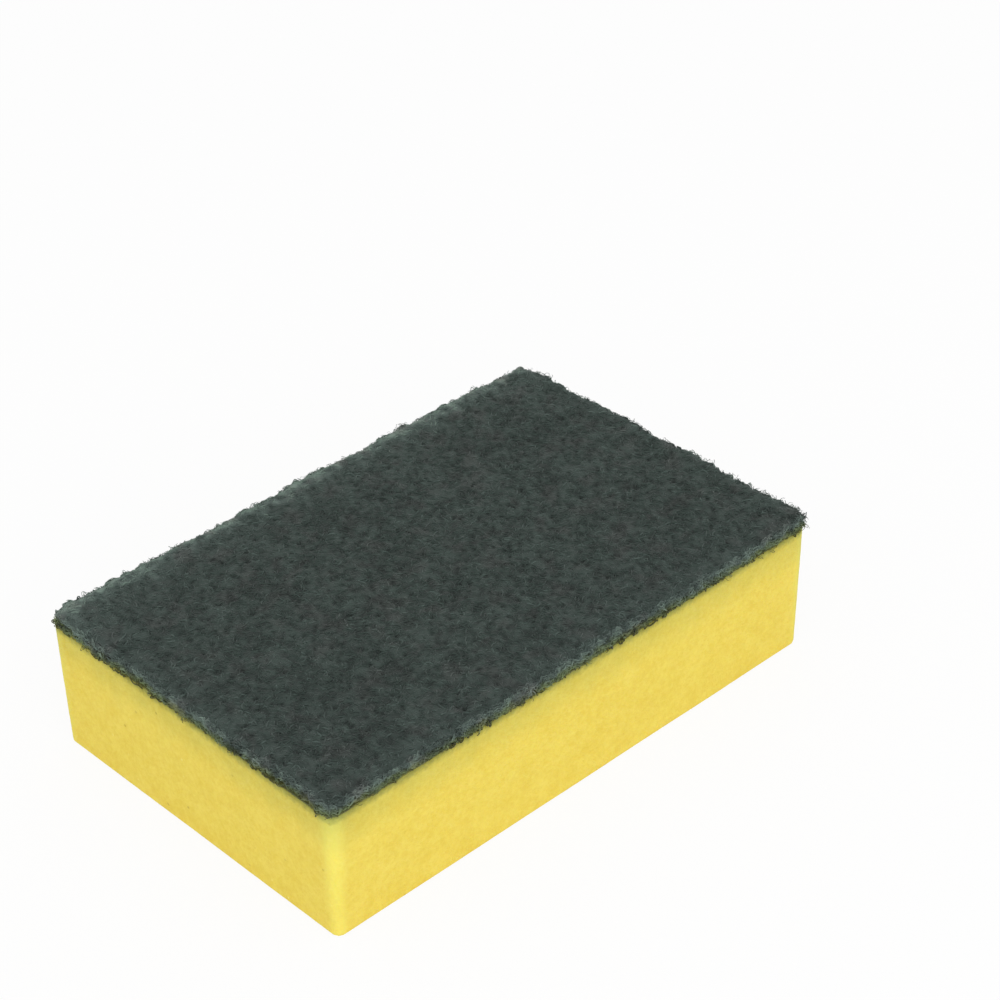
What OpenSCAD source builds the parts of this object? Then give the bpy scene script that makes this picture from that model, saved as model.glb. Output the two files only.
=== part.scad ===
// Cleaning sponge: a foam block with a scouring pad of nonwoven fibre bonded to its top.
// It lies on its foam face. The origin is the centre of that face, +X runs along its
// length, +Y across its width and +Z up through the foam to the pad.

/* [Overall] */
// Overall length, over the pad
length = 150; // [60:1:220]
// Overall width, over the pad
width = 98; // [45:1:150]

/* [Foam block] */
// Height of the foam block
foam_height = 34; // [12:0.5:70]
// How far each side of the foam leans in, from its top to its underside
foam_lean = 0.7; // [0:0.1:4]
// Radius of the foam's upright edges where they reach its flat underside
foam_corner = 1.2; // [0.5:0.1:12]
// Radius of the soft edge round the foam's underside
foam_edge = 0.8; // [0.3:0.1:5]

/* [Adhesive film] */
// Thickness of the adhesive that bonds the pad to the foam
film_thickness = 0.3; // [0.1:0.05:1.5]

/* [Scouring pad] */
// Thickness of the pad at its highest spots
pad_thickness = 3.8; // [3.2:0.1:15]
// How far the pad's highest edge spots stand out past the foam
pad_overhang = 0.8; // [0.2:0.1:4]
// Radius of the pad's corner at -X, -Y
corner_left_front = 1.6; // [1:0.1:20]
// Radius of the pad's corner at +X, -Y
corner_right_front = 2.4; // [1:0.1:20]
// Radius of the pad's corner at +X, +Y
corner_right_back = 5; // [1:0.1:20]
// Radius of the pad's corner at -X, +Y
corner_left_back = 4; // [1:0.1:20]
// Radius of the round-over where the pad's top turns down into its edge
pad_edge = 2.2; // [1:0.1:3]

/* [Fibre surface] */
// Depth of the soft lumps over the pad's top
lump_depth = 0.6; // [0:0.1:1.4]
// Distance from one soft lump to the next
lump_pitch = 9; // [5:0.5:30]
// How far the pad's cut edge wanders in and out
edge_wander = 0.9; // [0:0.1:1.5]
// Length of one wander of the cut edge
wander_pitch = 17; // [8:1:60]
// Depth of the frayed tufts along the cut edge
edge_fray = 0.8; // [0:0.1:1]
// Depth of the split in the edge round the corner at -X, +Y
corner_split = 1.4; // [0:0.1:1.5]
// Seed of the random lumps and tufts
random_seed = 7; // [1:1:99]

/* [Hidden] */

half = [length / 2, width / 2];
film_bottom = foam_height;
pad_bottom = film_bottom + film_thickness;

round_facets = 64;      // facets of a full turn of an upright edge
foam_edge_steps = 6;    // segments in the foam's soft lower edge
mesh_pitch = 2.5;       // spacing of the points over the pad
columns = round(length / mesh_pitch);
rows = round(width / mesh_pitch);
tuft_pitch = 3.1;       // distance from one frayed tuft to the next
round_turns = [30, 60];             // rows of points round the pad's round-over, as turns from its top
wall_shares = [1, 0.6, 0.3, 0];     // heights of the rows of points down the pad's cut edge
split_share = 1;        // the row that the corner's split runs along
split_reach = 8;        // how far the split runs each way from its corner

// ---- random but repeatable values ----

dice_count = 509;
dice = rands(-1, 1, dice_count, random_seed);

function die(i, j) = dice[((i * 73 + j * 179) % dice_count + dice_count) % dice_count];
function ease(t) = t * t * (3 - 2 * t);
function between(a, b, t) = a + (b - a) * ease(t);

// A smooth random field between -1 and 1, with one hill or hollow in each unit square
function hills(x, y) =
    let (i = floor(x), j = floor(y), s = x - i, t = y - j)
    between(between(die(i, j), die(i + 1, j), s), between(die(i, j + 1), die(i + 1, j + 1), s), t);

// The same field between 0 and 1
function dips(x, y) = (1 + hills(x, y)) / 2;

// ---- meshes ----

// Triangles between two closed rings of point numbers, each counted anticlockwise from above
function wall(upper, lower) = [
    for (k = [0 : len(upper) - 1])
        let (n = (k + 1) % len(upper))
        each [[upper[k], upper[n], lower[n]], [upper[k], lower[n], lower[k]]]
];

function ring(first, count) = [for (k = [0 : count - 1]) first + k];
function backwards(list) = [for (k = [len(list) - 1 : -1 : 0]) list[k]];

// ---- foam block and adhesive film ----

foam_spread = foam_edge + foam_lean;    // how far the foam's sides widen from its flat underside
foam_top = half - [pad_overhang, pad_overhang];
foam_flat = foam_top - [foam_spread, foam_spread];
corner_centre = foam_flat - [foam_corner, foam_corner];

// The foam's side, from its underside up to the film, past a given reach of flat underside
function foam_side(reach) = concat(
    [for (s = [0 : foam_edge_steps])
        let (turn = 90 * s / foam_edge_steps)
        [reach + foam_edge * sin(turn), foam_edge * (1 - cos(turn))]],
    [[reach + foam_spread, foam_height]]);

// The foam's whole section, run straight along Y
module foam_slab(reach, run) {
    side = foam_side(reach);
    rotate([90, 0, 0])
        linear_extrude(run, center = true)
            polygon(concat(side, [for (p = backwards(side)) [-p.x, p.y]]));
}

module foam_block() {
    color([0.93, 0.83, 0.33]) {
        foam_slab(foam_flat.x, 2 * corner_centre.y);
        rotate(90) foam_slab(foam_flat.y, 2 * corner_centre.x);
        for (x = [-1, 1], y = [-1, 1])
            translate([x * corner_centre.x, y * corner_centre.y])
                rotate_extrude($fn = round_facets)
                    polygon(concat([[0, 0]], foam_side(foam_corner), [[0, foam_height]]));
    }
}

module adhesive_film() {
    color([0.72, 0.66, 0.36])
        translate([0, 0, film_bottom])
            linear_extrude(film_thickness) {
                square(2 * [foam_top.x, corner_centre.y], center = true);
                square(2 * [corner_centre.x, foam_top.y], center = true);
                for (x = [-1, 1], y = [-1, 1])
                    translate([x * corner_centre.x, y * corner_centre.y])
                        circle(foam_corner + foam_spread, $fn = round_facets);
            }
}

// ---- scouring pad ----

top_half = half - [pad_edge, pad_edge];     // the pad's top stops short of its edge's round-over

// Radius of the top's corner on the side of u and v, whose edge's round-over lies outside it
function top_corner(u, v) =
    max(0.2, (u < 0 ? (v < 0 ? corner_left_front : corner_left_back)
                    : (v < 0 ? corner_right_front : corner_right_back)) - pad_edge);

// How deep a point of the square from -1 to 1 lies in its corner's round, from 0 to 1 each way,
// bent so that the square's corner becomes that round
function corner_bend(u, v) =
    let (r = top_corner(u, v),
         a = max(0, (abs(u) * top_half.x - top_half.x + r) / r),
         b = max(0, (abs(v) * top_half.y - top_half.y + r) / r))
    min(a, b) > 0 ? [a * sqrt(1 - b ^ 2 / 2), b * sqrt(1 - a ^ 2 / 2)] : [0, 0];

function across(i) = 2 * i / columns - 1;
function along(j) = 2 * j / rows - 1;

// The place in plan of point i, j of the pad's top
function plan(i, j) =
    let (u = across(i), v = along(j), r = top_corner(u, v), bend = corner_bend(u, v))
    min(bend) > 0
        ? [sign(u) * (top_half.x - r + r * bend.x), sign(v) * (top_half.y - r + r * bend.y)]
        : [u * top_half.x, v * top_half.y];

// The direction straight out of the pad at point i, j of its rim
function outward(i, j) =
    let (u = across(i), v = along(j), bend = corner_bend(u, v))
    min(bend) > 0 ? [sign(u) * bend.x, sign(v) * bend.y]
                  : i == 0 || i == columns ? [sign(u), 0] : [0, sign(v)];

// The points of the rim, anticlockwise from above
rim = concat(
    [for (i = [0 : columns - 1]) [i, 0]],
    [for (j = [0 : rows - 1]) [columns, j]],
    [for (i = [columns : -1 : 1]) [i, rows]],
    [for (j = [rows : -1 : 1]) [0, j]]);

function top_height(p) = pad_thickness - lump_depth * dips(p.x / lump_pitch, p.y / lump_pitch);
function wander(p) = edge_wander * dips(p.x / wander_pitch, p.y / wander_pitch);
function fray(p, share) = edge_fray * dips(p.x / tuft_pitch + 40 * share, p.y / tuft_pitch);
function split(p, share) =
    share == split_share
        ? corner_split * max(0, 1 - norm(p - [-top_half.x, top_half.y]) / split_reach)
        : 0;

// A point of the pad's top. The rim follows the wander of the cut edge
function top_point(i, j) =
    let (p = plan(i, j), on_rim = i == 0 || j == 0 || i == columns || j == rows,
         q = on_rim ? p - outward(i, j) * wander(p) : p)
    [q.x, q.y, top_height(p)];

// A rim point of the round-over, at a turn from the pad's top
function round_point(i, j, turn) =
    let (p = plan(i, j), q = p + outward(i, j) * (pad_edge * sin(turn) - wander(p)))
    [q.x, q.y, top_height(p) - pad_edge * (1 - cos(turn))];

// A rim point of the cut edge, at a share of the height that it has under the round-over
function edge_point(i, j, share) =
    let (p = plan(i, j), q = p + outward(i, j) * (pad_edge - wander(p) - fray(p, share) - split(p, share)))
    [q.x, q.y, share * (top_height(p) - pad_edge)];

module scouring_pad() {
    top_points = [for (j = [0 : rows], i = [0 : columns]) top_point(i, j)];
    round_points = [for (turn = round_turns, r = rim) round_point(r.x, r.y, turn)];
    edge_points = [for (share = wall_shares, r = rim) edge_point(r.x, r.y, share)];

    stride = columns + 1;
    first_ring = len(top_points);
    rings = concat(
        [[for (r = rim) r.x + r.y * stride]],
        [for (k = [1 : len(round_turns) + len(wall_shares)])
            ring(first_ring + (k - 1) * len(rim), len(rim))]);
    last = len(rings) - 1;

    color([0.24, 0.28, 0.26])
        translate([0, 0, pad_bottom])
            polyhedron(
                points = concat(top_points, round_points, edge_points),
                faces = concat(
                    [for (j = [0 : rows - 1], i = [0 : columns - 1])
                        let (a = i + j * stride, b = a + stride)
                        each [[a, b, b + 1], [a, b + 1, a + 1]]],
                    [for (k = [1 : last]) each wall(rings[k - 1], rings[k])],
                    [rings[last]]));
}

foam_block();
adhesive_film();
scouring_pad();
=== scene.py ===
import math

import bmesh
import bpy
import numpy as np
from mathutils import Matrix, Vector
from mathutils.bvhtree import BVHTree


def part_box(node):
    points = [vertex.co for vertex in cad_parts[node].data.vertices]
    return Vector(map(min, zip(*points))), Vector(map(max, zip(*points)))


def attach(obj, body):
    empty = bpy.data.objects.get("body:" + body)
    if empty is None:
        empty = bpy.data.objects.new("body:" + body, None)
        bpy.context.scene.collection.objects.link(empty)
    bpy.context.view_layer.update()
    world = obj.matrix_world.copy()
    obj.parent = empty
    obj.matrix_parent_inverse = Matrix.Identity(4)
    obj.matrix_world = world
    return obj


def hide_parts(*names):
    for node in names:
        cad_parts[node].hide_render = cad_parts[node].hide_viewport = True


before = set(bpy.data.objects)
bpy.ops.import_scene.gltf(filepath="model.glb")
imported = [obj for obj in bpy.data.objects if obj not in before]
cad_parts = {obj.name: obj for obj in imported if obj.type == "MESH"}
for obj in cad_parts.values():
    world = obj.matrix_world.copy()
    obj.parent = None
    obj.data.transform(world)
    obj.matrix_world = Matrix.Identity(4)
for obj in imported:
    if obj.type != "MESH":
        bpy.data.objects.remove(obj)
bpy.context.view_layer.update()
mm = 0.001
hair = 0.01 * mm  # points whose heights differ by less than this are level

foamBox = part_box("foam_block")
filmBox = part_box("adhesive_film")
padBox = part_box("scouring_pad")

seeds = {  # one for each random field, so that every run gives the same sponge
    "foamWaves": 11,
    "foamRoughness": 12,
    "filmEdge": 21,
    "pores": 41,
    "swells": 43,
    "tufts": 44,
    "clumps": 45,
    "blotches": 46,
    "backGlowPatches": 47,
    "fringeTufts": 51,
    "skirtTeeth": 52,
}
latticeSide = 32  # a random field repeats after this many hills


class Wire:  # a node's output that can be added, scaled and so on
    def __init__(self, paint, socket):
        self.paint = paint
        self.socket = socket

    def __add__(self, other):
        return self.paint.reckon("ADD", self, other)

    def __radd__(self, other):
        return self.paint.reckon("ADD", other, self)

    def __sub__(self, other):
        return self.paint.reckon("SUBTRACT", self, other)

    def __rsub__(self, other):
        return self.paint.reckon("SUBTRACT", other, self)

    def __mul__(self, other):
        return self.paint.reckon("MULTIPLY", self, other)

    def __rmul__(self, other):
        return self.paint.reckon("MULTIPLY", other, self)

    def __abs__(self):
        return self.paint.reckon("ABSOLUTE", self, 0)


class Paint:  # the nodes of one material, or of the world
    mixSlots = {"RGBA": (6, 7, 2), "FLOAT": (2, 3, 0)}  # the Mix node's A, B and result for each kind

    def __init__(self, owner):
        owner.use_nodes = True
        self.owner = owner
        self.tree = owner.node_tree
        self.tree.nodes.clear()

    def node(self, kind, settings, sockets, output=0):
        made = self.tree.nodes.new(kind)
        for name, value in settings.items():
            setattr(made, name, value)
        for name, value in sockets.items():
            if isinstance(value, Wire):
                self.tree.links.new(value.socket, made.inputs[name])
            else:
                made.inputs[name].default_value = value
        return Wire(self, made.outputs[output]) if made.outputs else None

    def reckon(self, operation, first, second):
        kinds = {side.socket.type for side in (first, second) if isinstance(side, Wire)}
        if "RGBA" in kinds:
            a, b, out = self.mixSlots["RGBA"]
            settings = {"data_type": "RGBA", "blend_type": operation}
            sides = {0: 1.0, a: asColour(first), b: asColour(second)}
            return self.node("ShaderNodeMix", settings, sides, out)
        if "VECTOR" in kinds:
            sides = {0: asVector(first), 1: asVector(second)}
            return self.node("ShaderNodeVectorMath", {"operation": operation}, sides)
        return self.node("ShaderNodeMath", {"operation": operation}, {0: first, 1: second})

    def blend(self, share, low, high, kind="RGBA"):
        a, b, out = self.mixSlots[kind]
        return self.node("ShaderNodeMix", {"data_type": kind}, {0: share, a: low, b: high}, out)

    def ease(self, value, low, high):  # 0 below low, 1 above high, and smooth between
        return self.node(
            "ShaderNodeMapRange",
            {"interpolation_type": "SMOOTHSTEP"},
            {"Value": value, "From Min": low, "From Max": high},
        )

    def place(self):
        return self.node("ShaderNodeTexCoord", {}, {}, "Object")

    def clouds(self, place, pitch, detail):
        sockets = {"Vector": place, "Scale": 1 / pitch, "Detail": detail}
        return self.node("ShaderNodeTexNoise", {}, sockets, "Fac")

    def cells(self, place, pitch, output="Distance"):
        return self.node("ShaderNodeTexVoronoi", {}, {"Vector": place, "Scale": 1 / pitch}, output)

    def axes(self, vector):
        split = self.node("ShaderNodeSeparateXYZ", {}, {"Vector": vector}, "X")
        outputs = split.socket.node.outputs
        return [Wire(self, outputs[axis]) for axis in "XYZ"]

    def bump(self, height, distance, strength=1.0):
        sockets = {"Height": height, "Distance": distance, "Strength": strength}
        return self.node("ShaderNodeBump", {}, sockets)

    def finish(self, sockets):
        shader = self.node("ShaderNodeBsdfPrincipled", {}, sockets)
        self.node("ShaderNodeOutputMaterial", {}, {"Surface": shader})
        return self.owner


def asColour(value):
    return (value, value, value, 1) if isinstance(value, (int, float)) else value


def asVector(value):
    return (value, value, value) if isinstance(value, (int, float)) else value


def hills(places, pitch, field):
    # A smooth random field from -1 to 1, with one hill or hollow in each cube of side pitch.
    dice = np.random.default_rng(seeds[field])
    lattice = dice.uniform(-1, 1, (latticeSide, latticeSide, latticeSide))
    cell = places / pitch
    base = np.floor(cell).astype(int)
    part = cell - base
    part = part * part * (3 - 2 * part)
    total = 0
    for corner in np.ndindex(2, 2, 2):
        weight = np.prod(np.where(corner, part, 1 - part), axis=-1)
        x, y, z = np.moveaxis((base + corner) % latticeSide, -1, 0)
        total = total + weight * lattice[x, y, z]
    return total


def unit(vectors):
    return vectors / np.maximum(np.linalg.norm(vectors, axis=-1, keepdims=True), 1e-12)


def makePiece(name, points, faces, material):
    mesh = bpy.data.meshes.new(name)
    mesh.from_pydata(points, [], faces)
    mesh.shade_smooth()
    mesh.materials.append(material)
    piece = bpy.data.objects.new(name, mesh)
    bpy.context.scene.collection.objects.link(piece)
    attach(piece, "root")
    return piece


def numbersOf(items, key, width, kind=np.float64):
    values = np.empty(len(items) * width, kind)
    items.foreach_get(key, values)
    return values.reshape(-1, width)


def setPoints(mesh, points):
    mesh.vertices.foreach_set("co", np.ravel(points))
    mesh.update()


def setTone(piece, tones):
    # How pale each point of a piece is, for its material.
    piece.data.attributes.new("tone", "FLOAT", "POINT").data.foreach_set("value", np.ravel(tones))


def setMap(mesh, places):
    mesh.uv_layers.new(name="OFBake").uv.foreach_set("vector", places.ravel())


def roundedGrid(columns, rows, half, radius):
    # A rectangle with round corners as rows of points, and the direction straight out of it
    # along its rim.
    u, v = np.meshgrid(np.linspace(-1, 1, columns + 1), np.linspace(-1, 1, rows + 1))
    reachX = np.abs(u) * half[0]
    reachY = np.abs(v) * half[1]
    a = np.maximum(0, (reachX - half[0] + radius) / radius)
    b = np.maximum(0, (reachY - half[1] + radius) / radius)
    inRound = (a > 0) & (b > 0)
    bendA = a * np.sqrt(1 - b**2 / 2)
    bendB = b * np.sqrt(1 - a**2 / 2)
    x = np.where(inRound, half[0] - radius + radius * bendA, reachX) * np.sign(u)
    y = np.where(inRound, half[1] - radius + radius * bendB, reachY) * np.sign(v)
    onEnd = np.abs(u) == 1
    outX = np.where(inRound, bendA, onEnd) * np.sign(u)
    outY = np.where(inRound, bendB, ~onEnd) * np.sign(v)
    return np.stack([x, y], -1), np.stack([outX, outY], -1)


def rimOf(columns, rows):
    # The grid's rim, anticlockwise from above, as columns and rows.
    across = np.arange(columns)
    up = np.arange(rows)
    i = np.concatenate([across, np.full(rows, columns), columns - across, np.zeros(rows, int)])
    j = np.concatenate([np.zeros(columns, int), up, np.full(columns, rows), rows - up])
    return i, j


def boxAtlas(piece, topShows=True):
    # Gives each side of a block its own place on the map, all at one scale. A top that doesn't
    # show gets only a speck of it.
    margin = 0.01
    speck = 0.02
    mesh = piece.data
    points = numbersOf(mesh.vertices, "co", 3)
    low = points.min(0)
    length, width, height = points.max(0) - low
    top = (2, 1)
    corners = {  # axis and direction a side faces: (axis across, axis up, lower left place on the map)
        (2, -1): (0, 1, (0, 0)),
        (1, -1): (0, 2, (0, width)),
        (1, 1): (0, 2, (0, width + height)),
        (0, -1): (2, 1, (length, 0)),
        (0, 1): (2, 1, (length, width)),
        top: (0, 1, (0, width + 2 * height)),
    }
    tall = width * (2 if topShows else 1) + 2 * height
    scale = (1 - 2 * margin) / max(length + height, tall, 2 * width)
    normals = numbersOf(mesh.polygons, "normal", 3)
    axis = np.abs(normals).argmax(1)
    direction = np.sign(normals[np.arange(len(axis)), axis])
    cornerCount = numbersOf(mesh.polygons, "loop_total", 1, int)[:, 0]
    vertex = numbersOf(mesh.loops, "vertex_index", 1, int)[:, 0]
    at = points[vertex] - low
    places = np.zeros((len(vertex), 2))
    for side, (right, up, start) in corners.items():
        facing = np.repeat((axis == side[0]) & (direction == side[1]), cornerCount)
        shrink = speck if side == top and not topShows else 1
        places[facing] = (at[facing][:, [right, up]] * shrink + start) * scale + margin
    setMap(mesh, places)


# The foam block is cut foam with fine cells, a few larger pits in painted shade and painted glints. Its
# sides lean in.
foam = {
    "cornerRadius": 1.2 * mm,  # of the upright edges, at the flat underside
    "softEdge": 0.8 * mm,  # radius of the soft edge round the underside
    "softSteps": 3,
    "meshPitch": 1.0 * mm,
    "waveDepth": 0.14 * mm,  # slow waves left by the cutting
    "wavePitch": 21 * mm,
    "roughDepth": 0.045 * mm,  # open cells standing out of the cut
    "roughPitch": 1.2 * mm,
    "trueReach": 1 * mm,  # how far from the flat underside and top the sides run true
    "cellPitch": 0.55 * mm,
    "grainPitch": 1.3 * mm,
    "mottlePitch": 4.5 * mm,
    "deepYellow": (0.79, 0.60, 0.085, 1),
    "paleYellow": (0.87, 0.71, 0.135, 1),
    "meanTone": 0.55,  # where the foam lies between those two, and what each layer adds or takes
    "mottleTone": 0.8,
    "grainTone": 0.9,
    "cellTone": 0.15,
    # painted shade in each cell's opening
    "openingShadeTone": 0.25,
    "openingShade": (0.05, 0.45),  # where the painted shade in a cell's opening ends, in cells from its middle
    # painted light: a paler yellow where light shines through the foam at its upright edges
    "edgeGlowYellow": (0.91, 0.84, 0.175, 1),
    "edgeGlowShare": 0.75,
    "edgeGlowReach": (0.5 * mm, 5.5 * mm),  # where the painted glow of light through the upright edges fades out
    "padShade": {  # painted shade: what the dark pad leaves of the light in the foam under it
        "left": (0.74, 0.81, 0.89, 1),
        "reach": (-2 * mm, 13 * mm),
        "pitch": 6 * mm,
        "ragged": 6 * mm,
    },
    "jointStainAndShade": {  # and, right at the joint, the adhesive soaked into the foam with painted shade under the pad's edge
        "left": (0.50, 0.56, 0.68, 1),
        "reach": (0, 2.6 * mm),
        "pitch": 1.2 * mm,
        "ragged": 2 * mm,
    },
    "speckPitch": 2.6 * mm,  # from one place that may hold a pit or a glint to the next
    "speckRadius": (0.1 * mm, 0.5 * mm),
    # painted shade in the larger pits
    "pitShadeYellow": (0.42, 0.29, 0.035, 1),
    "pitShadeShare": 0.5,
    "pitDraw": (0.90, 0.97),  # a place that draws more than this holds a pit
    # painted highlights: open cells that catch the light
    "glintHighlightYellow": (0.98, 0.90, 0.30, 1),
    "glintHighlightShare": 0.7,
    "glintDraw": (0.03, 0.08),  # and less than this a glint
    "cellRelief": 0.8,
    "grainRelief": 0.6,
    "pitRelief": 1.5,
    "reliefDepth": 0.25 * mm,
}


def foamPaint():
    paint = Paint(bpy.data.materials.new("foam"))
    place = paint.place()
    cell = paint.cells(place, foam["cellPitch"])
    cellDraw = paint.axes(paint.cells(place, foam["cellPitch"], "Color"))[0]
    mottle = paint.clouds(place, foam["mottlePitch"], 3)
    grain = paint.clouds(place, foam["grainPitch"], 2)
    # Painted shade in each cell's opening.
    openingShade = 1 - paint.ease(cell, *foam["openingShade"])
    tone = foam["meanTone"] + (mottle - 0.5) * foam["mottleTone"] + (grain - 0.5) * foam["grainTone"]
    tone = tone + (cellDraw - 0.5) * foam["cellTone"] - openingShade * foam["openingShadeTone"]
    colour = paint.blend(paint.ease(tone, 0, 1), foam["deepYellow"], foam["paleYellow"])

    x, y, z = paint.axes(place)
    halfLength, halfWidth = (np.subtract(foamBox[1], foamBox[0]) / 2).tolist()[:2]
    # Painted light, where light shines through the foam at its upright edges.
    fromEdge = (halfLength - abs(x)) + (halfWidth - abs(y))
    edgeGlow = 1 - paint.ease(fromEdge, *foam["edgeGlowReach"])
    colour = paint.blend(edgeGlow * foam["edgeGlowShare"], colour, foam["edgeGlowYellow"])

    # Darker down from the foam's top: painted shade under the dark pad, and the adhesive's stain at the
    # joint.
    for shade in (foam["padShade"], foam["jointStainAndShade"]):
        ragged = (paint.clouds(place, shade["pitch"], 2) - 0.5) * shade["ragged"]
        depth = float(foamBox[1][2]) - z + ragged
        colour = paint.blend(1 - paint.ease(depth, *shade["reach"]), colour, colour * shade["left"])

    draw = paint.axes(paint.cells(place, foam["speckPitch"], "Color"))[1]
    fromSpeck = paint.cells(place, foam["speckPitch"]) * foam["speckPitch"]
    speck = 1 - paint.ease(fromSpeck, *foam["speckRadius"])
    pit = speck * paint.ease(draw, *foam["pitDraw"])
    glint = speck * (1 - paint.ease(draw, *foam["glintDraw"]))
    # Painted shade in the pits.
    colour = paint.blend(pit * foam["pitShadeShare"], colour, foam["pitShadeYellow"])
    # Painted highlights on the glints.
    colour = paint.blend(glint * foam["glintHighlightShare"], colour, foam["glintHighlightYellow"])

    relief = cell * foam["cellRelief"] + grain * foam["grainRelief"] - pit * foam["pitRelief"] + glint
    return paint.finish({
        "Base Color": colour,
        "Roughness": 0.9 + mottle * 0.1,
        "Subsurface Weight": 0.3,
        "Subsurface Radius": (1.0, 0.75, 0.2),
        "Subsurface Scale": 1.6 * mm,
        "Specular IOR Level": 0.2,
        "Normal": paint.bump(relief, foam["reliefDepth"], 0.6),
    })


def foamProfile(lean, height):
    # How far out and up each ring of points round the foam lies from its flat underside.
    soft = foam["softEdge"]
    turns = np.radians(np.linspace(0, 90, foam["softSteps"] + 1)[1:])
    profile = [(soft * math.sin(turn), soft * (1 - math.cos(turn))) for turn in turns]
    levels = int(round(height / foam["meshPitch"]))
    for share in np.linspace(0, 1, levels)[1:]:
        profile.append((soft + lean * share, soft + (height - soft) * share))
    return profile


def makeFoam():
    low, high = (np.array(corner) for corner in foamBox)
    topHalf = (high - low)[:2] / 2
    corners = numbersOf(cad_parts["foam_block"].data.vertices, "co", 3)
    flatHalf = corners[corners[:, 2] < low[2] + hair].max(0)[:2]
    lean = topHalf[0] - flatHalf[0] - foam["softEdge"]
    columns, rows = np.round(2 * topHalf / foam["meshPitch"]).astype(int)
    plan, outward = roundedGrid(columns, rows, flatHalf, foam["cornerRadius"])
    i, j = rimOf(columns, rows)
    flat = np.concatenate([plan, np.zeros(plan.shape[:2] + (1,))], -1).reshape(-1, 3)
    rings = []
    for out, up in foamProfile(lean, high[2] - low[2]):
        ring = plan[j, i] + outward[j, i] * out
        rings.append(np.concatenate([ring, np.full((len(i), 1), up)], -1))
    points = np.concatenate([flat] + rings) + [0, 0, low[2]]

    stride = columns + 1
    a = (np.arange(rows)[:, None] * stride + np.arange(columns)).ravel()
    faces = [np.stack([a, a + stride, a + stride + 1, a + 1], -1)]
    upper = i + j * stride
    for k in range(len(rings)):
        lower = upper
        upper = len(flat) + k * len(i) + np.arange(len(i))
        faces.append(np.stack([lower, np.roll(lower, -1), np.roll(upper, -1), upper], -1))
    faces = np.concatenate(faces).tolist() + [upper.tolist()]

    piece = makePiece("foamBlock", points, faces, foamPaint())
    normals = numbersOf(piece.data.vertices, "normal", 3)
    rough = foam["waveDepth"] * (hills(points, foam["wavePitch"], "foamWaves") - 0.5)
    rough += foam["roughDepth"] * hills(points, foam["roughPitch"], "foamRoughness")
    rough *= np.clip((points[:, 2] - low[2]) / foam["trueReach"], 0, 1)  # it rests flat
    rough *= np.clip((high[2] - points[:, 2]) / foam["trueReach"], 0, 1)  # and so does the film on it
    setPoints(piece.data, points + normals * rough[:, None])
    boxAtlas(piece, topShows=False)
    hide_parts("foam_block")
    return piece


foamBlock = makeFoam()
print("foam block:", len(foamBlock.data.vertices), "points")


# The adhesive film shows only as a thin line, where it ends unevenly at the foam's edge.
film = {
    "meshPitch": 1.5 * mm,
    "squeeze": 0.25 * mm,  # how unevenly it ends
    "squeezePitch": 3 * mm,
    "cornerRadius": 2.7 * mm,
    "amber": (0.20, 0.20, 0.045, 1),
    "darkAmber": (0.08, 0.09, 0.025, 1),
    "soakPitch": 2.5 * mm,
    "soakClouds": (0.3, 0.7),
    "reliefDepth": 0.2 * mm,
}


def filmPaint():
    paint = Paint(bpy.data.materials.new("adhesive"))
    soak = paint.clouds(paint.place(), film["soakPitch"], 3)
    thin = paint.ease(soak, *film["soakClouds"])
    return paint.finish({
        "Base Color": paint.blend(thin, film["darkAmber"], film["amber"]),
        "Roughness": 0.45 + soak * 0.3,
        "Normal": paint.bump(soak, film["reliefDepth"]),
    })


def makeFilm():
    low, high = (np.array(corner) for corner in filmBox)
    half = (high - low)[:2] / 2
    columns, rows = np.round(2 * half / film["meshPitch"]).astype(int)
    plan, outward = roundedGrid(columns, rows, half, film["cornerRadius"])
    i, j = rimOf(columns, rows)
    rim = plan[j, i]
    count = len(rim)
    flat = np.concatenate([rim, np.zeros((count, 1))], -1)
    squeezed = film["squeeze"] * (1 + hills(flat, film["squeezePitch"], "filmEdge")) / 2
    rim = rim - outward[j, i] * squeezed[:, None]
    top = np.concatenate([rim, np.full((count, 1), high[2])], -1)
    bottom = np.concatenate([rim, np.full((count, 1), low[2])], -1)
    k = np.arange(count)
    after = np.roll(k, -1)
    sides = np.stack([k + count, after + count, after, k], -1).tolist()
    faces = [k.tolist(), (k[::-1] + count).tolist()] + sides
    piece = makePiece("adhesiveFilm", np.concatenate([top, bottom]), faces, filmPaint())
    piece.data.shade_flat()
    boxAtlas(piece)
    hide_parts("adhesive_film")
    return piece


adhesiveFilm = makeFilm()
print("adhesive film:", len(adhesiveFilm.data.vertices), "points")


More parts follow.
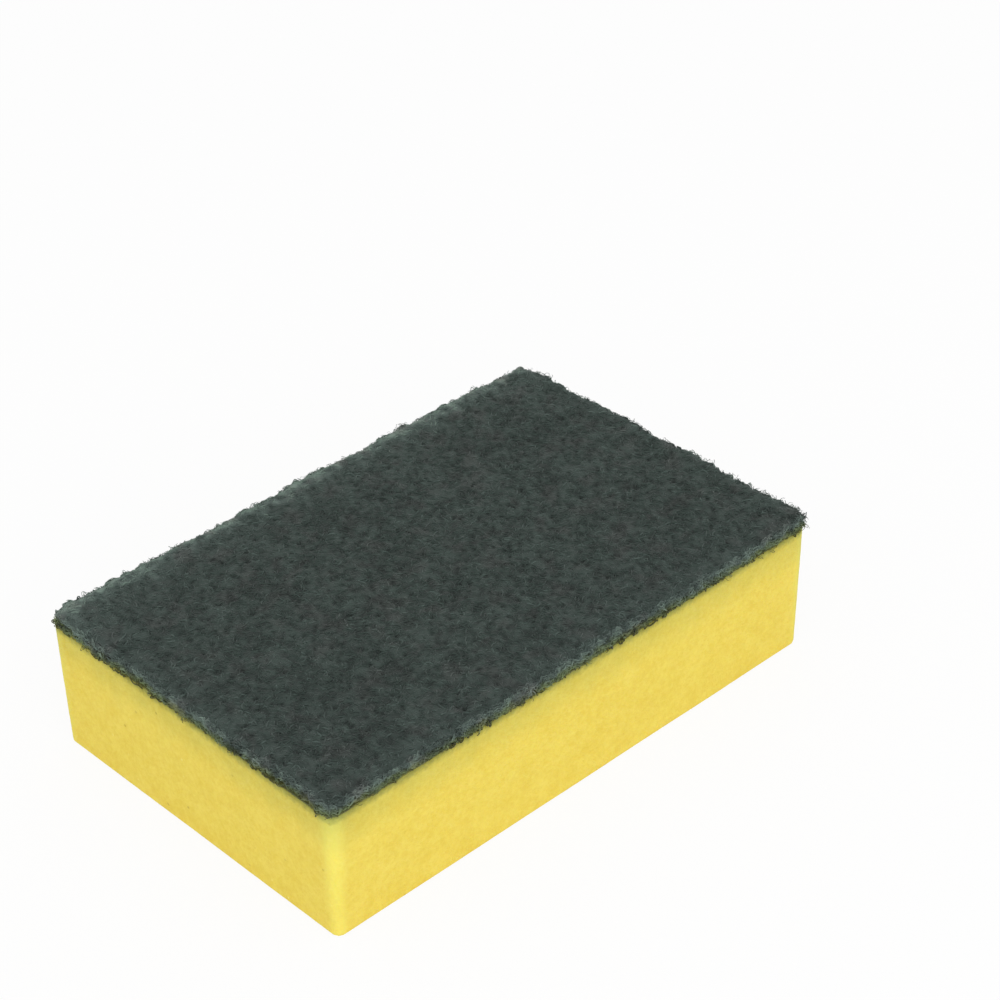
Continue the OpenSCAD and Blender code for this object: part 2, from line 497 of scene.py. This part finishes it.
# The scouring pad is a tangle of crimped fibre: a solid core, curly fibres laid over it, and
# loops and hairs that stand out of its cut edge. Its outer form comes from the frame.
pad = {
    "coreSink": 0.24 * mm,  # how deep the tangle lies under the pad's outer fibres
    "coreCuts": 3,
    "poreDepth": 0.7 * mm,
    "porePitch": 1.7 * mm,
    "poreReach": 0.95 * mm,
    "poreDraw": 1.3,  # the higher, the more of the pores are shallow
    "swell": 0.2 * mm,  # soft rises and falls between the pores
    "swellPitch": 3.6 * mm,
    "tuftDepth": 0.9 * mm,  # notches between the tufts of the cut edge
    "rimDepth": 0.9 * mm,  # and how much deeper they are along the rim
    "tuftOut": 0.25,  # share of those depths that the tufts stand out by instead
    "tuftPitch": 1.6 * mm,
    "tuftRise": 2 * mm,  # how far above the glued side they are full
    "spread": 0.6 * mm,  # how much further the pad has spread at its end at +X
    "spreadReach": 5.0 * mm,
    "rimReach": 2.4 * mm,
    "topTone": 0.45,  # how pale the tangle is, and what each layer adds or takes
    # painted shade in the pores, and painted light on the swells
    "poreShadeTone": 0.4,
    "swellLightTone": 0.06,
    "clumpTone": 0.24,
    "clumpPitch": 1.4 * mm,
    # painted shade: how much darker the core lies than the fibres over it
    "coreDepthShade": 0.16,
    "cutTone": 0.26,  # the cut edge is paler: its fibre ends and blotches, and painted light, most of all at its foot
    "blotchTone": 0.6,
    "blotchPitch": 1.9 * mm,
    "footLightTone": 0.42,
    # painted glow along the rim
    "rimGlowTone": 0.3,
    "backGlowTone": 1.35,  # so is the top towards the side at +Y, by a painted glow of light from behind
    "backGlowPatchTone": 1.08,
    "backGlowPitch": 1.7 * mm,
    "backGlowReach": 4.0 * mm,
    "splitTone": 0.5,  # and the corner whose edge has split
    "splitReach": 8.0 * mm,
    "patchTone": 0.25,
    "patchPitch": 10 * mm,
    "grainTone": 0.2,
    "greens": (  # each for a tone of 0.5 more than the last
        (0.021, 0.030, 0.0260, 1),
        (0.0445, 0.0635, 0.0550, 1),
        (0.090, 0.122, 0.108, 1),
        (0.180, 0.242, 0.205, 1),
    ),
    "warmTint": (1.14, 0.98, 1.02, 1),  # what warmer patches multiply the green by
    "warmPitch": 6 * mm,
    "warmClouds": (0.5, 0.7),
    "foamBounceTint": (1.10, 1.04, 0.50, 1),  # painted reflection: what the foam's yellow light multiplies the pad's lowest fibres by
    "foamBounceHeights": (0.2 * mm, 2.1 * mm),
    "soakedOlive": (0.070, 0.068, 0.014, 1),
    "soakedShare": 0.85,
    "soakHeight": 0.5 * mm,  # how far up the adhesive has soaked into the cut edge
    "soakPitch": 1.8 * mm,
    "soakRagged": 1.6 * mm,
    "strandPitch": 2.0 * mm,  # curly fibres too fine to model
    "strandWidth": (0.01, 0.05),
    "coreGrain": 0.7 * mm,
    "coreRelief": 0.07 * mm,
}

fibre = {
    "segments": 11,
    "step": 0.5 * mm,
    "stepSpread": (0.7, 1.25),
    "thinnest": 0.12 * mm,  # radius
    "thickest": 0.22 * mm,
    "curl": 0.5,  # radians that a fibre turns in one step, at most
    "stray": 0.3,  # and how far each turn strays from that
    "lowest": 0.2 * mm,  # above the pad's glued side
    "crimp": 0.21 * mm,  # how far it weaves in and out
    "crimpTurn": (0.7, 1.5),  # radians of that weave in one step
    # painted light: paler where a fibre weaves out, darker where it dips in
    "crimpLightTone": 0.1,
    "ownTone": (-0.06, 0.34),  # how pale it is by itself. Few fibres are the palest
    "follow": 0.9,  # share of the tangle's pores and notches that it follows
    "sides": 3,
    "grain": 0.35 * mm,
    "relief": 0.04 * mm,
}

layers = {  # name: (number of fibres, height over the pad's surface, seed)
    "padFibresLower": (2400, -0.40 * mm, 31),
    "padFibresMiddle": (3300, -0.32 * mm, 32),
    "padFibresUpper": (3300, -0.25 * mm, 33),
}

fringes = {  # loops and hairs that stand out of the cut edge
    "padFringe": {
        "count": 1500,
        "segments": 11,
        "thinnest": 0.11 * mm,  # radius
        "thickest": 0.20 * mm,
        "shortest": 1.2 * mm,  # run along the edge
        "longest": 3.4 * mm,
        "root": 0.35 * mm,  # how deep its ends lie in the pad
        "lowest": 0.05 * mm,  # how far it stands out
        "highest": 0.70 * mm,
        "flatter": 1.0,  # how much less it stands out where the edge turns into the top
        "skirt": 0.6 * mm,  # how much further along the lower rim, at most
        "looseShare": 0.15,  # those with one end free
        "tone": -0.1,
        "seed": 34,
    },
    "padFuzz": {
        "count": 5200,
        "segments": 5,
        "thinnest": 0.04 * mm,
        "thickest": 0.08 * mm,
        "shortest": 0.5 * mm,
        "longest": 1.8 * mm,
        "root": 0.15 * mm,
        "lowest": 0.25 * mm,
        "highest": 1.5 * mm,
        "flatter": 0.2,
        "skirt": 0.0,
        "looseShare": 0.7,
        "tone": 0.1,
        "seed": 35,
    },
}

fraying = {  # of both fringes
    "tufts": {"field": "fringeTufts", "pitch": 2.3 * mm, "mean": 0.4, "spread": 1.3, "least": 0.05},
    "teeth": {"field": "skirtTeeth", "pitch": 1.6 * mm, "mean": 0.1, "spread": 1.5, "least": 0},
    "slope": 0.35,  # how steeply a loop runs up or down instead of along the edge
    "lean": 0.3,  # how much a loop of the lower rim leans down, at most
    "outwardLean": 0.3,  # how much every loop leans straight out of the edge
    "waves": (0.8, 1.8),  # that it sways in along its run
    "sway": 0.12,  # share of its run that it sways by
    "looseEnd": 0.6,  # where on its arch a loose one ends
    "ownTone": 0.4,
    "middleShare": 0.35,  # how likely it is to stand halfway up the edge, against 0.85 at both rims
    "topLoss": 0.6,  # and how much less likely where the edge turns into the top
    "foot": 0.3 * mm,  # how far above the glued side its ends are rooted, at least
    "over": 1 * mm,  # and how far over the pad's top its run may pass
    "splitReach": 5 * mm,  # how far it stays away from the corner whose edge has split
    "splitFoot": 0.4 * mm,  # apart from this far up from the glued side
    "droop": 0.9 * mm,  # how far it hangs down over the foam at the loose corner
    "droopReach": 7 * mm,
}

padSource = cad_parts["scouring_pad"].data
padPoints = numbersOf(padSource.vertices, "co", 3)
padFaces = [tuple(face.vertices) for face in padSource.polygons]
padSurface = BVHTree.FromPolygons([Vector(p) for p in padPoints], padFaces)
padLow, padHigh = (np.array(corner) for corner in padBox)
padThickness = padHigh[2] - padLow[2]
splitCorner = np.array([padLow[0], padHigh[1]])
looseCorner = np.array([padHigh[0], padLow[1]])


def onPad(places):
    # The nearest points of the pad's surface, and the directions straight out of it there.
    found = [padSurface.find_nearest(Vector(place))[:2] for place in places.reshape(-1, 3)]
    grounds, normals = np.array(found).swapaxes(0, 1)
    return grounds.reshape(places.shape), normals.reshape(places.shape)


def pores(places):
    # Up to 1 in the middle of a pore between the tangled fibres, and 0 over most of the pad.
    # Each cube of the lattice has one pore, of its own depth.
    dice = np.random.default_rng(seeds["pores"])
    middles = dice.random((latticeSide, latticeSide, latticeSide, 3))
    depths = dice.random((latticeSide, latticeSide, latticeSide)) ** pad["poreDraw"]
    cell = places / pad["porePitch"]
    base = np.floor(cell).astype(int)
    deepest = 0
    for step in np.ndindex(3, 3, 3):
        cube = base + step - 1
        x, y, z = np.moveaxis(cube % latticeSide, -1, 0)
        away = np.linalg.norm(cube + middles[x, y, z] - cell, axis=-1) * pad["porePitch"]
        within = np.clip(1 - away / pad["poreReach"], 0, 1)
        deepest = np.maximum(deepest, depths[x, y, z] * within * within * (3 - 2 * within))
    return deepest


def swells(places):
    return hills(places, pad["swellPitch"], "swells")


def sideways(normals):
    # 0 on the flat top and 1 on the upright cut edge.
    return 1 - np.clip(normals[..., 2], 0, 1) ** 4


def fromRim(places):
    # How far in from the pad's outline a place lies, in plan.
    return np.clip(padHigh[:2] - np.abs(places[..., :2]), 0, None).min(-1)


def sunk(places, normals):
    # How deep the pad's surface lies under its smooth outline.
    between = (1 + hills(places, pad["tuftPitch"], "tufts")) / 2 - pad["tuftOut"]
    depth = pad["tuftDepth"] * sideways(normals)
    depth = depth + pad["rimDepth"] * np.exp(-(fromRim(places) / pad["rimReach"]) ** 2)
    free = np.clip((places[..., 2] - padLow[2]) / pad["tuftRise"], 0, 1)
    rough = pad["poreDepth"] * pores(places) + pad["swell"] * (1 - swells(places)) / 2
    spread = pad["spread"] * np.clip(1 - (padHigh[0] - places[..., 0]) / pad["spreadReach"], 0, 1)
    return rough + (depth * between - spread) * free


def tangleTone(places, normals):
    # How pale the tangle is: least in its pores (painted shade), more on its rim and cut edge (partly
    # painted light).
    tone = pad["topTone"] + pad["clumpTone"] * hills(places, pad["clumpPitch"], "clumps")
    # Painted shade in the pores, and painted light on the swells.
    tone = tone + pad["swellLightTone"] * swells(places) - pad["poreShadeTone"] * pores(places)
    blotches = pad["blotchTone"] * hills(places, pad["blotchPitch"], "blotches")
    lowness = 1 - np.clip((places[..., 2] - padLow[2]) / padThickness, 0, 1)
    # The cut edge: paler fibre ends and blotches, and painted light at its foot against the shade there.
    tone = tone + sideways(normals) * (pad["cutTone"] + blotches + pad["footLightTone"] * lowness)
    # Painted glow along the rim.
    tone = tone + pad["rimGlowTone"] * np.exp(-fromRim(places) / pad["rimReach"])
    # Painted glow of light from behind on the top towards the side at +Y, in patches.
    patches = pad["backGlowPatchTone"] * hills(places, pad["backGlowPitch"], "backGlowPatches")
    fromGlowSide = np.clip(padHigh[1] - places[..., 1], 0, None)
    backGlow = np.exp(-fromGlowSide / pad["backGlowReach"]) * np.clip(normals[..., 2], 0, 1)
    nearSplit = np.exp(-np.linalg.norm(places[..., :2] - splitCorner, axis=-1) / pad["splitReach"])
    return tone + (pad["backGlowTone"] + patches) * backGlow + pad["splitTone"] * nearSplit


def strands(paint, place):
    # Each strand runs along the middle of a field of soft clouds.
    total = 0
    for shift in ((0, 0, 0), (0.3, 0, 0), (0, 0.3, 0)):
        clouds = paint.clouds(place + shift, pad["strandPitch"], 1)
        total = total + 1 - paint.ease(abs(clouds - 0.5), *pad["strandWidth"])
    return total


def padPaint(name, grainPitch, relief, reliefDepth):
    # relief gives the height of the finish's bumps from a paint, a place and its grain.
    paint = Paint(bpy.data.materials.new(name))
    place = paint.place()
    tone = paint.node("ShaderNodeAttribute", {"attribute_name": "tone"}, {}, "Fac")
    patch = paint.clouds(place, pad["patchPitch"], 2)
    grain = paint.clouds(place, grainPitch, 3)
    tone = tone + (patch - 0.5) * pad["patchTone"] + (grain - 0.5) * pad["grainTone"]
    colour = pad["greens"][0]
    for step, paler in enumerate(pad["greens"][1:]):
        colour = paint.blend(paint.ease(tone, step * 0.5, step * 0.5 + 0.5), colour, paler)
    elsewhere = place + (0.1, 0.2, 0)  # so that the warm patches don't follow the pale ones
    warm = paint.ease(paint.clouds(elsewhere, pad["warmPitch"], 2), *pad["warmClouds"])
    colour = paint.blend(warm, colour, colour * pad["warmTint"])

    height = paint.axes(place)[2] - float(padLow[2])
    # Painted reflection of the foam's yellow light on the pad's lowest fibres.
    nearFoam = 1 - paint.ease(height, *pad["foamBounceHeights"])
    colour = paint.blend(nearFoam, colour, colour * pad["foamBounceTint"])
    ragged = (paint.clouds(place, pad["soakPitch"], 1) - 0.5) * pad["soakRagged"]
    soaked = 1 - paint.ease(height + ragged, 0, pad["soakHeight"])
    return paint.finish({
        "Base Color": paint.blend(soaked * pad["soakedShare"], colour, pad["soakedOlive"]),
        "Roughness": 0.65 + grain * 0.3,
        "Specular IOR Level": 0.25,
        "Sheen Weight": 0.1,
        "Sheen Roughness": 0.4,
        "Normal": paint.bump(relief(paint, place, grain), reliefDepth),
    })


def makeCore():
    sharpAngle = math.radians(60)
    glueReach = 0.5 * mm  # closer than this to its glued side the core only sinks in level
    work = bmesh.new()
    work.from_mesh(padSource)
    bmesh.ops.remove_doubles(work, verts=work.verts, dist=hair / 10)
    under = [face for face in work.faces if face.calc_center_median().z < padLow[2] + hair]
    bmesh.ops.dissolve_faces(work, faces=under)
    bmesh.ops.subdivide_edges(work, edges=work.edges, cuts=pad["coreCuts"], use_grid_fill=True)
    work.normal_update()
    work.verts.ensure_lookup_table()
    points = np.array([vert.co for vert in work.verts])
    faces = [[vert.index for vert in face.verts] for face in work.faces]
    work.free()
    material = padPaint(
        "padCore",
        pad["coreGrain"],
        lambda paint, place, grain: strands(paint, place) + grain,
        pad["coreRelief"],
    )
    piece = makePiece("padCore", points, faces, material)
    normals = numbersOf(piece.data.vertices, "normal", 3)
    free = np.clip((points[:, 2:] - padLow[2]) / glueReach, 0, 1)  # the glued side stays flat
    inward = normals * free + unit(normals * [1, 1, 0]) * (1 - free)
    sink = pad["coreSink"] + sunk(points, normals)
    setPoints(piece.data, points - inward * sink[:, None])
    piece.data.set_sharp_from_angle(angle=sharpAngle)
    # The core under the fibres is painted darker, as shade of the tangle's depth.
    setTone(piece, tangleTone(points, normals) - pad["coreDepthShade"])
    boxAtlas(piece)
    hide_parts("scouring_pad")
    return piece


def isFree(normals):
    # Leaves out the side that is stuck down.
    return normals[:, 2] > -0.5


def scatter(dice, count, weigh):
    # Random places on the pad's faces, with the faces' normals. weigh says how likely each face is.
    corners = padPoints[np.array(padFaces)]
    cross = np.cross(corners[:, 1] - corners[:, 0], corners[:, 2] - corners[:, 0])
    normals = unit(cross)
    share = np.linalg.norm(cross, axis=1) * weigh(corners.mean(1), normals)
    face = dice.choice(len(share), count, p=share / share.sum())
    a, b = dice.random((2, count, 1))
    a, b = np.where(a + b > 1, 1 - a, a), np.where(a + b > 1, 1 - b, b)
    places = corners[face, 0] * (1 - a - b) + corners[face, 1] * a + corners[face, 2] * b
    return places, normals[face]


def mapTubes(mesh, count, points, sides):
    # Each fibre has a strip of its own on the map, with its sides one above the other.
    stripShape = 2.6  # how many times wider than tall a strip is
    inset = np.array([0.04, 0.08])
    across = int(math.ceil(math.sqrt(count / stripShape)))
    room = np.array([1 / across, 1 / math.ceil(count / across)])
    strip = np.stack([np.arange(count) % across, np.arange(count) // across], -1)

    def laid(along, around):
        layout = np.stack(np.broadcast_arrays(along / (points - 1), around / sides), -1)
        spot = strip.reshape((count,) + (1,) * (layout.ndim - 1) + (2,))
        return ((spot + inset + layout * (1 - 2 * inset)) * room).reshape(-1, 2)

    side = np.arange(sides)[:, None]
    hoop = np.arange(1, points - 2)[:, None, None]
    tip = np.array([0, 1, 1])
    quads = laid(hoop + np.array([0, 1, 1, 0]), side + np.array([0, 0, 1, 1]))
    starts = laid(tip, side + np.array([0.5, 0, 1]))
    ends = laid(points - 1 - tip, side + np.array([0.5, 1, 0]))
    setMap(mesh, np.concatenate([quads, starts, ends]))


def makeTubes(name, lines, normals, radii, tones, material):
    # One closed tube along each line, pointed at both ends. lines is fibres by points by 3,
    # and tones is fibres by points.
    count, points = lines.shape[:2]
    sides = fibre["sides"]
    hoops = points - 2
    tangents = unit(np.gradient(lines, axis=1))
    side = unit(np.cross(tangents, normals))
    up = np.cross(side, tangents)
    turn = np.pi / 2 + 2 * np.pi * np.arange(sides) / sides
    around = np.cos(turn)[:, None] * side[:, :, None] + np.sin(turn)[:, None] * up[:, :, None]
    rings = (lines[:, :, None] + around * radii[:, None, None, None])[:, 1:-1]
    places = np.concatenate([rings.reshape(-1, 3), lines[:, [0, -1]].reshape(-1, 3)])

    hoop = np.arange(count)[:, None, None] * hoops + np.arange(hoops)[:, None]
    ring = hoop * sides + np.arange(sides)
    nextSide = np.roll(ring, -1, axis=2)
    tips = count * hoops * sides + np.arange(count)[:, None] * 2 + np.arange(2)
    tips = np.repeat(tips[:, None], sides, axis=1)
    quads = np.stack([ring[:, :-1], ring[:, 1:], nextSide[:, 1:], nextSide[:, :-1]], -1)
    starts = np.stack([tips[..., 0], ring[:, 0], nextSide[:, 0]], -1)
    ends = np.stack([tips[..., 1], nextSide[:, -1], ring[:, -1]], -1)
    faces = quads.reshape(-1, 4).tolist() + starts.reshape(-1, 3).tolist() + ends.reshape(-1, 3).tolist()
    piece = makePiece(name, places, faces, material)
    setTone(piece, np.concatenate([np.repeat(tones[:, 1:-1], sides), tones[:, [0, -1]].ravel()]))
    mapTubes(piece.data, count, points, sides)


def layFibres(name, count, lift, seed, material):
    # Curly fibres that wander over the pad's top and down its cut edges.
    dice = np.random.default_rng(seed)
    places, normals = scatter(dice, count, lambda centre, normal: isFree(normal))
    heading = unit(np.cross(normals, dice.normal(size=(count, 3))))
    curl = dice.uniform(-1, 1, count) * fibre["curl"]
    steps = fibre["step"] * dice.uniform(*fibre["stepSpread"], (count, 1))
    line, lineNormals = [], []
    for _ in range(fibre["segments"] + 1):
        line.append(places)
        lineNormals.append(normals)
        places, normals = onPad(places + heading * steps)
        places[:, 2] = np.maximum(places[:, 2], padLow[2] + fibre["lowest"])
        turn = curl + dice.uniform(-fibre["stray"], fibre["stray"], count)
        heading = unit(heading - normals * (heading * normals).sum(1, keepdims=True))
        heading = heading * np.cos(turn)[:, None] + np.cross(normals, heading) * np.sin(turn)[:, None]
    line, lineNormals = np.stack(line, 1), np.stack(lineNormals, 1)
    phase = dice.uniform(0, 2 * np.pi, (count, 1))
    phase = phase + np.arange(line.shape[1]) * dice.uniform(*fibre["crimpTurn"], (count, 1))
    height = lift + fibre["crimp"] * np.sin(phase) - fibre["follow"] * sunk(line, lineNormals)
    lines = line + lineNormals * height[..., None]
    least, most = fibre["ownTone"]
    own = least + (most - least) * dice.random((count, 1)) ** 3
    # Painted light: each fibre is paler where its crimp lifts it.
    tones = tangleTone(line, lineNormals) + own + fibre["crimpLightTone"] * np.sin(phase)
    radii = dice.uniform(fibre["thinnest"], fibre["thickest"], count)
    makeTubes(name, lines, lineNormals, radii, tones, material)


def patchy(places, patches):
    # From least to 1, in patches.
    field = hills(places, patches["pitch"], patches["field"])
    return np.clip(patches["mean"] + patches["spread"] * field, patches["least"], 1)


def weighRims(centre, normal):
    # How likely a loop is to stand on each of the pad's faces.
    flattest = 0.95  # a face that lies flatter than this has none
    onEdge = (np.abs(normal[:, 2]) < flattest) & isFree(normal)
    clear = np.linalg.norm(centre[:, :2] - splitCorner, axis=1) > fraying["splitReach"]
    clear = clear | (centre[:, 2] < padLow[2] + fraying["splitFoot"])
    fromMiddle = np.abs(centre[:, 2] - (padLow[2] + padHigh[2]) / 2) / padThickness
    upward = np.clip(normal[:, 2], 0, 1)
    return onEdge * clear * (fraying["middleShare"] + fromMiddle) * (1 - fraying["topLoss"] * upward)


def frayEdges(name, fringe, material):
    # Small loops and loose hairs, in tufts.
    dice = np.random.default_rng(fringe["seed"])
    count = fringe["count"]
    places, normals = scatter(dice, count, weighRims)
    upright = np.array([0, 0, 1])
    outward = unit(normals * [1, 1, 0])
    lower = places[:, 2:] <= (padLow[2] + padHigh[2]) / 2
    lean = -upright * lower * dice.uniform(0, fraying["lean"], (count, 1))
    along = np.cross(outward, upright) * dice.choice([-1, 1], (count, 1))
    along = unit(along + upright * dice.normal(size=(count, 1)) * fraying["slope"])
    run = dice.uniform(fringe["shortest"], fringe["longest"], (count, 1, 1))

    # How far each one stands out, and how far those at the loose corner hang down.
    tuft = patchy(places, fraying["tufts"])[:, None, None]
    tooth = patchy(places, fraying["teeth"])[:, None, None]
    reach = (fringe["highest"] - fringe["lowest"]) * dice.random((count, 1, 1)) ** 2
    height = fringe["lowest"] + reach * tuft + fringe["skirt"] * tooth * lower[:, None]
    fromLoose = np.linalg.norm(places[:, :2] - looseCorner, axis=1)
    hang = np.clip(1 - fromLoose / fraying["droopReach"], 0, 1) * fraying["droop"] * lower[:, 0]

    # Its line runs over the pad's surface and arches out of it, with both ends in the pad.
    loose = dice.random((count, 1, 1)) < fringe["looseShare"]
    share = np.linspace(0, 1, fringe["segments"] + 1)[:, None]
    arch = np.sin(np.pi * share * np.where(loose, fraying["looseEnd"], 1))
    waves = share * dice.uniform(*fraying["waves"], (count, 1, 1)) + dice.random((count, 1, 1))
    straight = places[:, None] + along[:, None] * (share - 0.5) * run
    inside = straight.copy()
    inside[..., 2] = np.clip(straight[..., 2], padLow[2] + fraying["foot"], padHigh[2] + fraying["over"])
    ground, groundNormals = onPad(inside)
    ground = ground - groundNormals * (fibre["follow"] * sunk(ground, groundNormals))[..., None]
    ground[..., 2] = np.where(lower, straight[..., 2], ground[..., 2])
    bias = unit(groundNormals + outward[:, None] * fraying["outwardLean"] + lean[:, None])
    height = height * (1 - fringe["flatter"] * np.clip(groundNormals[..., 2:], 0, 1))
    sway = np.cross(bias, along[:, None]) * np.sin(2 * np.pi * waves) * run * fraying["sway"]
    lines = ground + bias * (arch * (height + fringe["root"]) - fringe["root"]) + sway
    lines[..., 2] -= hang[:, None] * arch[..., 0]

    lineNormals = np.repeat(outward[:, None], lines.shape[1], 1)
    radii = dice.uniform(fringe["thinnest"], fringe["thickest"], count)
    own = fringe["tone"] + fraying["ownTone"] * dice.random((count, 1)) ** 2
    tones = tangleTone(ground, groundNormals) + own
    makeTubes(name, lines, lineNormals, radii, tones, material)


padCore = makeCore()
print("pad core:", len(padCore.data.vertices), "points")
fibreFinish = padPaint("padFibre", fibre["grain"], lambda paint, place, grain: grain, fibre["relief"])
for layerName, (number, lift, seed) in layers.items():
    layFibres(layerName, number, lift, seed, fibreFinish)
    print(layerName + ":", number, "fibres")
for fringeName, fringe in fringes.items():
    frayEdges(fringeName, fringe, fibreFinish)
    print(fringeName + ":", fringe["count"], "loops and hairs")


# The studio is an even pale room with one large soft lamp.
studio = {
    "worldStrength": 0.75,
    "lampPower": 8.4,
    "lampSize": 1.4,
    "lampPlace": (-0.6, -0.9, 0.9),
    "floorSize": 6.0,
    "floorDrop": 0.1 * mm,
    "floorColour": (0.93, 0.93, 0.93, 1),
    "shadowShare": 0.1,  # how much of the floor's own light and shadow the camera sees
    "restingGap": (0.3 * mm, 0.4 * mm),  # what lies closer than this gets light through the floor
}

camera = {
    "aim": (0.0449, 0.0258, 0.020),  # the sponge lies left of and nearer than the middle of the view
    "azimuth": -43.20,
    "elevation": 34.54,
    "roll": -1.15,
    "distance": 0.6963,
    "lens": 101.30,
}


def seenDirectly(paint):
    # 1 for what the camera sees straight, in a reflection or through glass, and 0 for the rest.
    total = 0
    for kind in ("Camera", "Glossy", "Transmission"):
        total = total + paint.node("ShaderNodeLightPath", {}, {}, f"Is {kind} Ray")
    return paint.reckon("MINIMUM", total, 1.0)


def makeFloor():
    paint = Paint(bpy.data.materials.new("paleFloor"))
    lit = paint.node("ShaderNodeBsdfDiffuse", {}, {"Color": studio["floorColour"]})
    white = paint.node("ShaderNodeEmission", {}, {"Color": (1, 1, 1, 1), "Strength": 1.0})
    share = seenDirectly(paint) * (1 - studio["shadowShare"])
    pale = paint.node("ShaderNodeMixShader", {}, {0: share, 1: lit, 2: white})
    # Seen from below the floor isn't there, and light from below reaches the face that rests on it.
    below = paint.node("ShaderNodeNewGeometry", {}, {}, "Backfacing")
    distance = paint.node("ShaderNodeLightPath", {}, {}, "Ray Length")
    gone = paint.reckon("MAXIMUM", below, 1 - paint.ease(distance, *studio["restingGap"]))
    clear = paint.node("ShaderNodeBsdfTransparent", {}, {})
    surface = paint.node("ShaderNodeMixShader", {}, {0: gone, 1: pale, 2: clear})
    paint.node("ShaderNodeOutputMaterial", {}, {"Surface": surface})

    reach = studio["floorSize"] / 2
    corners = [(-reach, -reach, 0), (reach, -reach, 0), (reach, reach, 0), (-reach, reach, 0)]
    mesh = bpy.data.meshes.new("floor")
    mesh.from_pydata(corners, [], [(0, 1, 2, 3)])
    mesh.materials.append(paint.owner)
    floor = bpy.data.objects.new("floor", mesh)
    floor.location.z = -studio["floorDrop"]
    bpy.context.scene.collection.objects.link(floor)


def makeSky():
    world = bpy.data.worlds.new("studio")
    bpy.context.scene.world = world
    paint = Paint(world)
    strength = paint.blend(seenDirectly(paint), studio["worldStrength"], 1.0, "FLOAT")
    glow = paint.node("ShaderNodeBackground", {}, {"Color": (1, 1, 1, 1), "Strength": strength})
    paint.node("ShaderNodeOutputWorld", {}, {"Surface": glow})


def makeLamp():
    lamp = bpy.data.lights.new("softbox", "AREA")
    lamp.shape = "SQUARE"
    lamp.size = studio["lampSize"]
    lamp.energy = studio["lampPower"]
    holder = bpy.data.objects.new("softbox", lamp)
    holder.location = studio["lampPlace"]
    holder.rotation_euler = (-Vector(studio["lampPlace"])).to_track_quat("-Z", "Y").to_euler()
    bpy.context.scene.collection.objects.link(holder)


def makeCamera():
    azimuth, elevation = math.radians(camera["azimuth"]), math.radians(camera["elevation"])
    look = Vector((
        -math.sin(azimuth) * math.cos(elevation),
        math.cos(azimuth) * math.cos(elevation),
        -math.sin(elevation),
    ))
    eye = bpy.data.cameras.new("camera")
    eye.lens = camera["lens"]
    holder = bpy.data.objects.new("camera", eye)
    turn = look.to_track_quat("-Z", "Y").to_matrix().to_4x4()
    roll = Matrix.Rotation(math.radians(camera["roll"]), 4, "Z")
    place = Matrix.Translation(Vector(camera["aim"]) - look * camera["distance"])
    holder.matrix_world = place @ turn @ roll
    bpy.context.scene.collection.objects.link(holder)
    bpy.context.scene.camera = holder


makeFloor()
makeSky()
makeLamp()
makeCamera()
bpy.context.scene.view_settings.view_transform = "Standard"
print("studio and camera done")
